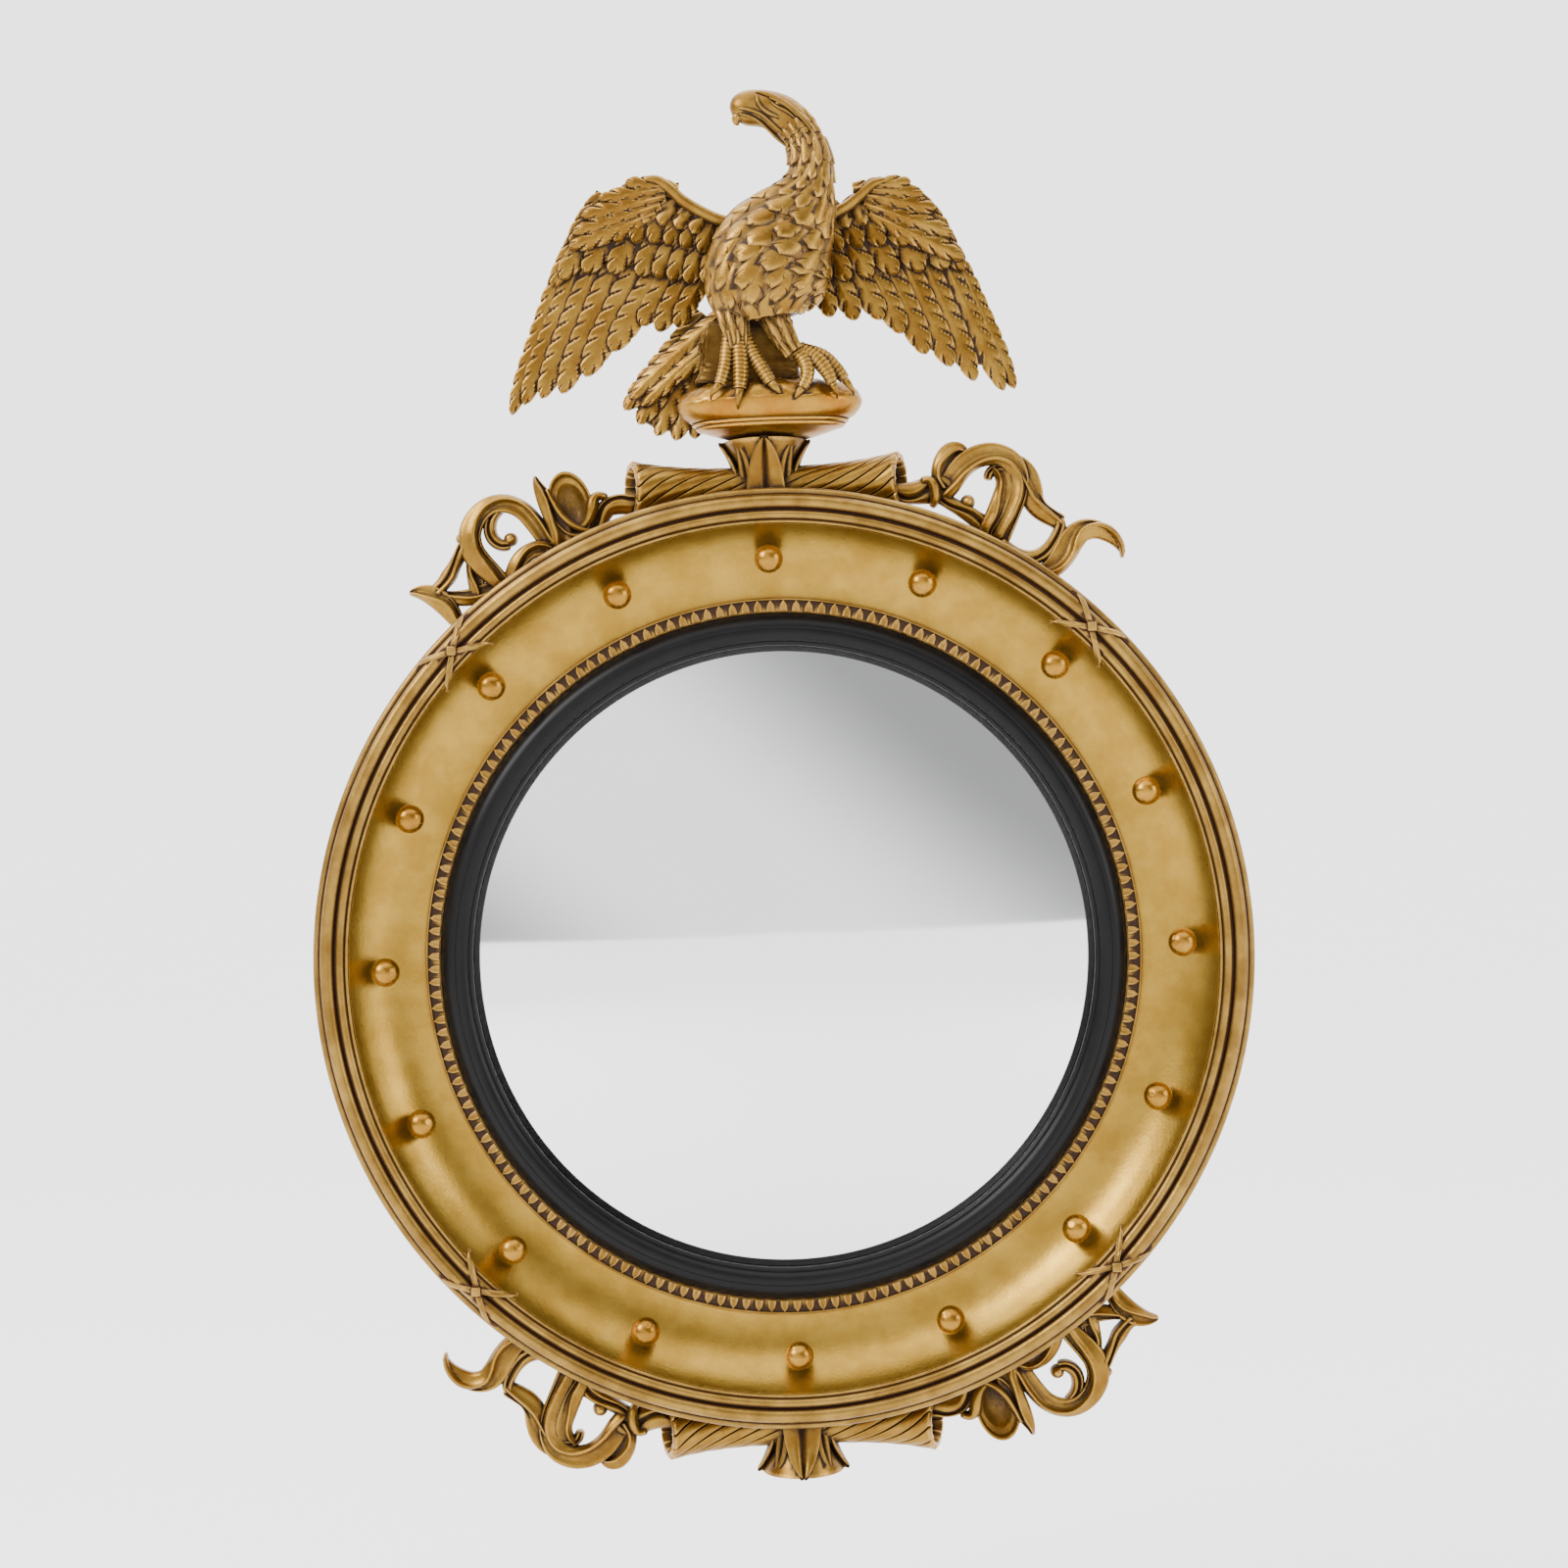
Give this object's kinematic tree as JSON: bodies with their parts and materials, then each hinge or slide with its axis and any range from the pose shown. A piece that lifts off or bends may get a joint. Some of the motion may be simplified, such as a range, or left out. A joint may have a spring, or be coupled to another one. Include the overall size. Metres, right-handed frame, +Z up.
{
  "type": "girandole mirror",
  "caption": "Round convex wall mirror: gilt cove frame with balls and a reeded rim, spread-winged eagle crest, spiral torches, scrolls and a leaf pendant.",
  "frame": {"origin": "the mirror's centre axis where it meets the wall", "axes": "+Z up, +X to the viewer's right, +Y into the wall, so the front faces -Y"},
  "size_m": [0.6803, 0.0924, 1.0112],
  "materials": {
    "gilding": "antique gilding over gesso and red-brown clay, darkened in the recesses",
    "softwood": "aged bare softwood",
    "ebonised_wood": "satin black",
    "silvered_glass": "polished convex plate, silvered behind",
    "backboard_wood": "aged thin board",
    "black_iron": "blackened",
    "hanger_steel": "dull plated",
    "brass_buttons": "tarnished",
    "steel_screws": "dull",
    "felt": "felt"
  },
  "bodies": {
    "mirror": {"back_ring": "softwood", "cove_ring": "gilding", "reeded_rim": "gilding", "leaf_tip_band": "gilding", "ebonised_slip": "ebonised_wood", "convex_glass": "silvered_glass", "backboard": "backboard_wood", "glazing_blocks": "softwood", "ball_01": "gilding", "ball_02": "gilding", "ball_03": "gilding", "ball_04": "gilding", "ball_05": "gilding", "ball_06": "gilding", "ball_07": "gilding", "ball_08": "gilding", "ball_09": "gilding", "ball_10": "gilding", "ball_11": "gilding", "ball_12": "gilding", "ball_13": "gilding", "ball_14": "gilding", "ball_15": "gilding", "ball_16": "gilding", "ribbon_tie_1": "gilding", "ribbon_tie_2": "gilding", "ribbon_tie_3": "gilding", "ribbon_tie_4": "gilding", "crest_socket": "gilding", "crest_torch_left": "gilding", "crest_torch_right": "gilding", "crest_scroll_left": "gilding", "crest_scroll_right": "gilding", "pendant_socket": "gilding", "pendant_torch_left": "gilding", "pendant_torch_right": "gilding", "pendant_scroll_left": "gilding", "pendant_scroll_right": "gilding", "perch": "gilding", "eagle_stump": "gilding", "eagle_body": "gilding", "eagle_wing_left": "gilding", "eagle_wing_right": "gilding", "eagle_tail": "gilding", "eagle_leg_left": "gilding", "eagle_leg_right": "gilding", "eagle_dowel": "softwood", "crest_strap": "black_iron", "pendant_strap": "black_iron", "hanger_plate_left": "hanger_steel", "hanger_plate_right": "hanger_steel", "wall_pads": "felt", "back_screws": "steel_screws"},
    "hanger_ring_left": {"hanger_ring_left": "hanger_steel"},
    "hanger_ring_right": {"hanger_ring_right": "hanger_steel"},
    "turn_button_1": {"turn_button_1": "brass_buttons"},
    "turn_button_2": {"turn_button_2": "brass_buttons"},
    "turn_button_3": {"turn_button_3": "brass_buttons"},
    "turn_button_4": {"turn_button_4": "brass_buttons"}
  },
  "joints": [
    {"name": "hanger_swing_left", "type": "hinge", "parent": "mirror", "child": "hanger_ring_left", "pos_m": [-0.24682, -0.0032, 0.1605], "axis": [1, 0, 0], "range_deg": [0, 180]},
    {"name": "hanger_swing_right", "type": "hinge", "parent": "mirror", "child": "hanger_ring_right", "pos_m": [0.24682, -0.0032, 0.1605], "axis": [1, 0, 0], "range_deg": [0, 180]},
    {"name": "button_turn_1", "type": "hinge", "parent": "mirror", "child": "turn_button_1", "pos_m": [0.18823, -0.00475, 0.18823], "axis": [0, 1, 0], "range_deg": [-90, 90]},
    {"name": "button_turn_2", "type": "hinge", "parent": "mirror", "child": "turn_button_2", "pos_m": [0.18823, -0.00475, -0.18823], "axis": [0, 1, 0], "range_deg": [-90, 90]},
    {"name": "button_turn_3", "type": "hinge", "parent": "mirror", "child": "turn_button_3", "pos_m": [-0.18823, -0.00475, -0.18823], "axis": [0, 1, 0], "range_deg": [-90, 90]},
    {"name": "button_turn_4", "type": "hinge", "parent": "mirror", "child": "turn_button_4", "pos_m": [-0.18823, -0.00475, 0.18823], "axis": [0, 1, 0], "range_deg": [-90, 90]}
  ]
}
